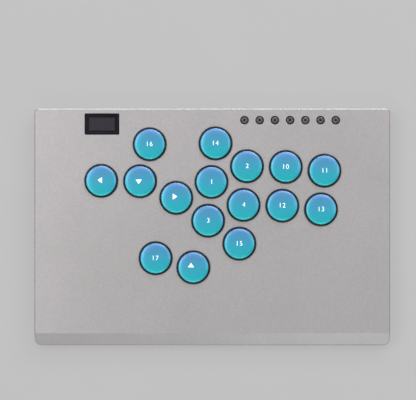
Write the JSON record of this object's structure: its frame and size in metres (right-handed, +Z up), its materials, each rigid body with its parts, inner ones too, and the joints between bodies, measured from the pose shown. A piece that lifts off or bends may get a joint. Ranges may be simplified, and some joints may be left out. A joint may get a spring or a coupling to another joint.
{
  "type": "arcade joystick panel",
  "caption": "Slim all-button arcade controller: a satin aluminium case with a sloped front edge, round sprung keys in black collars, small function buttons and a display window.",
  "frame": {"origin": "on the table, under the middle of the case", "axes": "+X to the user's right along the long side, +Y to the back edge, +Z up"},
  "size_m": [0.3, 0.2, 0.02],
  "materials": {
    "satin_aluminium": "fine bead-blasted satin",
    "dark_aluminium": "black anodised",
    "blue_green_cap": "smooth, blue at the back fading to blue-green at the front",
    "black_plastic": "semi-gloss moulded",
    "grey_button": "dark grey, dimpled",
    "smoked_window": "smoked, glossy",
    "display_glass": "dark display glass, unlit",
    "circuit_board": "green solder mask",
    "steel": "plated",
    "switch_housing": "moulded",
    "grip_rubber": "matt"
  },
  "bodies": {
    "case": {"top_shell": "satin_aluminium", "base_plate": "dark_aluminium", "grip_mat": "grip_rubber", "collar_frame": "black_plastic", "guide_strip": "black_plastic", "switch_plate": "steel", "main_board": "circuit_board", "display_window": "smoked_window", "display_panel": "display_glass", "display_board": "circuit_board", "usb_socket": "steel", "switch_left": "switch_housing", "switch_down": "switch_housing", "switch_right": "switch_housing", "switch_up": "switch_housing", "switch_upper_thumb": "switch_housing", "switch_lower_thumb": "switch_housing", "switch_top_1": "switch_housing", "switch_top_2": "switch_housing", "switch_top_3": "switch_housing", "switch_top_4": "switch_housing", "switch_bottom_1": "switch_housing", "switch_bottom_2": "switch_housing", "switch_bottom_3": "switch_housing", "switch_bottom_4": "switch_housing", "switch_above": "switch_housing", "switch_below": "switch_housing", "case_screw_front_left": "steel", "case_screw_front_middle": "steel", "case_screw_front_right": "steel", "case_screw_back_left": "steel", "case_screw_back_middle": "steel", "case_screw_back_right": "steel", "board_screw_front_left": "steel", "board_screw_front_right": "steel", "board_screw_back_left": "steel", "board_screw_back_right": "steel"},
    "key_left": {"key_cap_left": "blue_green_cap"},
    "key_down": {"key_cap_down": "blue_green_cap"},
    "key_right": {"key_cap_right": "blue_green_cap"},
    "key_up": {"key_cap_up": "blue_green_cap"},
    "key_upper_thumb": {"key_cap_upper_thumb": "blue_green_cap"},
    "key_lower_thumb": {"key_cap_lower_thumb": "blue_green_cap"},
    "key_top_1": {"key_cap_top_1": "blue_green_cap"},
    "key_top_2": {"key_cap_top_2": "blue_green_cap"},
    "key_top_3": {"key_cap_top_3": "blue_green_cap"},
    "key_top_4": {"key_cap_top_4": "blue_green_cap"},
    "key_bottom_1": {"key_cap_bottom_1": "blue_green_cap"},
    "key_bottom_2": {"key_cap_bottom_2": "blue_green_cap"},
    "key_bottom_3": {"key_cap_bottom_3": "blue_green_cap"},
    "key_bottom_4": {"key_cap_bottom_4": "blue_green_cap"},
    "key_above": {"key_cap_above": "blue_green_cap"},
    "key_below": {"key_cap_below": "blue_green_cap"},
    "function_1": {"function_cap_1": "grey_button"},
    "function_2": {"function_cap_2": "grey_button"},
    "function_3": {"function_cap_3": "grey_button"},
    "function_4": {"function_cap_4": "grey_button"},
    "function_5": {"function_cap_5": "grey_button"},
    "function_6": {"function_cap_6": "grey_button"},
    "function_7": {"function_cap_7": "grey_button"}
  },
  "joints": [
    {"name": "press_left", "type": "slide", "parent": "case", "child": "key_left", "axis": [0, 0, -1], "range_m": [0, 0.003], "stiffness_N_per_m": 120, "springref_m": -0.002},
    {"name": "press_down", "type": "slide", "parent": "case", "child": "key_down", "axis": [0, 0, -1], "range_m": [0, 0.003], "stiffness_N_per_m": 120, "springref_m": -0.002},
    {"name": "press_right", "type": "slide", "parent": "case", "child": "key_right", "axis": [0, 0, -1], "range_m": [0, 0.003], "stiffness_N_per_m": 120, "springref_m": -0.002},
    {"name": "press_up", "type": "slide", "parent": "case", "child": "key_up", "axis": [0, 0, -1], "range_m": [0, 0.003], "stiffness_N_per_m": 120, "springref_m": -0.002},
    {"name": "press_upper_thumb", "type": "slide", "parent": "case", "child": "key_upper_thumb", "axis": [0, 0, -1], "range_m": [0, 0.003], "stiffness_N_per_m": 120, "springref_m": -0.002},
    {"name": "press_lower_thumb", "type": "slide", "parent": "case", "child": "key_lower_thumb", "axis": [0, 0, -1], "range_m": [0, 0.003], "stiffness_N_per_m": 120, "springref_m": -0.002},
    {"name": "press_top_1", "type": "slide", "parent": "case", "child": "key_top_1", "axis": [0, 0, -1], "range_m": [0, 0.003], "stiffness_N_per_m": 120, "springref_m": -0.002},
    {"name": "press_top_2", "type": "slide", "parent": "case", "child": "key_top_2", "axis": [0, 0, -1], "range_m": [0, 0.003], "stiffness_N_per_m": 120, "springref_m": -0.002},
    {"name": "press_top_3", "type": "slide", "parent": "case", "child": "key_top_3", "axis": [0, 0, -1], "range_m": [0, 0.003], "stiffness_N_per_m": 120, "springref_m": -0.002},
    {"name": "press_top_4", "type": "slide", "parent": "case", "child": "key_top_4", "axis": [0, 0, -1], "range_m": [0, 0.003], "stiffness_N_per_m": 120, "springref_m": -0.002},
    {"name": "press_bottom_1", "type": "slide", "parent": "case", "child": "key_bottom_1", "axis": [0, 0, -1], "range_m": [0, 0.003], "stiffness_N_per_m": 120, "springref_m": -0.002},
    {"name": "press_bottom_2", "type": "slide", "parent": "case", "child": "key_bottom_2", "axis": [0, 0, -1], "range_m": [0, 0.003], "stiffness_N_per_m": 120, "springref_m": -0.002},
    {"name": "press_bottom_3", "type": "slide", "parent": "case", "child": "key_bottom_3", "axis": [0, 0, -1], "range_m": [0, 0.003], "stiffness_N_per_m": 120, "springref_m": -0.002},
    {"name": "press_bottom_4", "type": "slide", "parent": "case", "child": "key_bottom_4", "axis": [0, 0, -1], "range_m": [0, 0.003], "stiffness_N_per_m": 120, "springref_m": -0.002},
    {"name": "press_above", "type": "slide", "parent": "case", "child": "key_above", "axis": [0, 0, -1], "range_m": [0, 0.003], "stiffness_N_per_m": 120, "springref_m": -0.002},
    {"name": "press_below", "type": "slide", "parent": "case", "child": "key_below", "axis": [0, 0, -1], "range_m": [0, 0.003], "stiffness_N_per_m": 120, "springref_m": -0.002},
    {"name": "press_function_1", "type": "slide", "parent": "case", "child": "function_1", "axis": [0, 0, -1], "range_m": [0, 0.0003], "stiffness_N_per_m": 400, "springref_m": -0.002},
    {"name": "press_function_2", "type": "slide", "parent": "case", "child": "function_2", "axis": [0, 0, -1], "range_m": [0, 0.0003], "stiffness_N_per_m": 400, "springref_m": -0.002},
    {"name": "press_function_3", "type": "slide", "parent": "case", "child": "function_3", "axis": [0, 0, -1], "range_m": [0, 0.0003], "stiffness_N_per_m": 400, "springref_m": -0.002},
    {"name": "press_function_4", "type": "slide", "parent": "case", "child": "function_4", "axis": [0, 0, -1], "range_m": [0, 0.0003], "stiffness_N_per_m": 400, "springref_m": -0.002},
    {"name": "press_function_5", "type": "slide", "parent": "case", "child": "function_5", "axis": [0, 0, -1], "range_m": [0, 0.0003], "stiffness_N_per_m": 400, "springref_m": -0.002},
    {"name": "press_function_6", "type": "slide", "parent": "case", "child": "function_6", "axis": [0, 0, -1], "range_m": [0, 0.0003], "stiffness_N_per_m": 400, "springref_m": -0.002},
    {"name": "press_function_7", "type": "slide", "parent": "case", "child": "function_7", "axis": [0, 0, -1], "range_m": [0, 0.0003], "stiffness_N_per_m": 400, "springref_m": -0.002}
  ]
}
